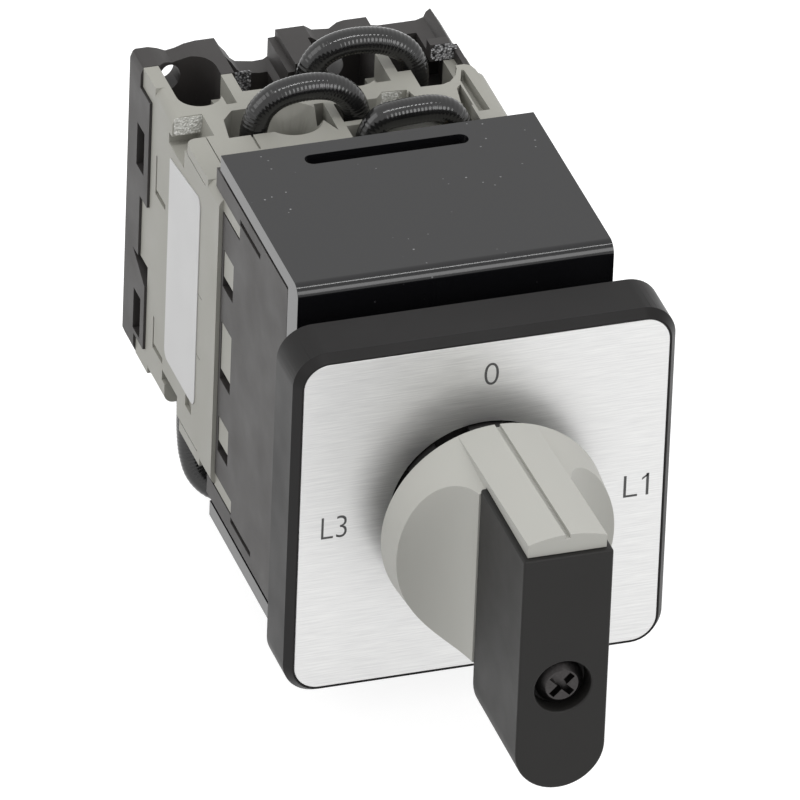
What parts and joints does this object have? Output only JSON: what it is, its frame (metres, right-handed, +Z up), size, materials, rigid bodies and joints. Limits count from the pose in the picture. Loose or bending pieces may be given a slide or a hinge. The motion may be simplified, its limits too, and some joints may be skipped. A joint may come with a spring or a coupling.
{
  "type": "ammeter selector switch",
  "caption": "Panel-mounted rotary ammeter selector switch: square legend plate, dial with a bar grip, boxed front cover, stacked contact stages with wire jumpers.",
  "frame": {"origin": "centre of the bezel's back face, where it seats on the panel, on the shaft's axis", "axes": "+Y runs along the shaft to the rear of the switch, -Y points at the operator, +X is to the operator's right, +Z is up"},
  "size_m": [0.045, 0.1034, 0.0592],
  "materials": {
    "black_satin_plastic": "satin moulded",
    "brushed_plate": "brushed along the width",
    "black_gloss_plastic": "glossy moulded",
    "black_matt_plastic": "matt moulded",
    "grey_plastic": "matt moulded",
    "dial_plastic": "fine matt moulded",
    "label_paper": "blank satin label",
    "zinc_steel": "zinc plated",
    "spring_steel": "drawn wire",
    "shaft_steel": "turned and milled",
    "brass": "stamped",
    "contact_copper": "stamped copper alloy",
    "plunger_plastic": "natural moulded",
    "cam_plastic": "moulded",
    "wire_insulation": "shiny, finely ribbed"
  },
  "bodies": {
    "body": {"bezel": "black_satin_plastic", "legend_plate": "brushed_plate", "ring_nut": "black_satin_plastic", "front_housing": "black_matt_plastic", "front_cover": "black_gloss_plastic", "stage_1_housing": "grey_plastic", "stage_2_housing": "grey_plastic", "rear_housing": "black_matt_plastic", "side_label": "label_paper", "tie_screws": "zinc_steel", "detent_rollers": "shaft_steel", "detent_springs": "spring_steel", "contact_plungers": "plunger_plastic", "plunger_springs": "spring_steel", "moving_contacts": "contact_copper", "fixed_contacts": "contact_copper", "terminal_clamps": "brass", "terminal_screws": "zinc_steel", "jumper_a": "wire_insulation", "jumper_b": "wire_insulation", "jumper_c": "wire_insulation", "jumper_d": "wire_insulation"},
    "rotor": {"dial": "dial_plastic", "grip": "black_matt_plastic", "grip_screw": "zinc_steel", "shaft": "shaft_steel", "index_wheel": "cam_plastic", "cam_1": "cam_plastic", "cam_2": "cam_plastic", "cam_3": "cam_plastic"}
  },
  "joints": [
    {"name": "selector_turn", "type": "hinge", "parent": "body", "child": "rotor", "pos_m": [0, 0, 0], "axis": [0, 1, 0], "continuous": true}
  ]
}
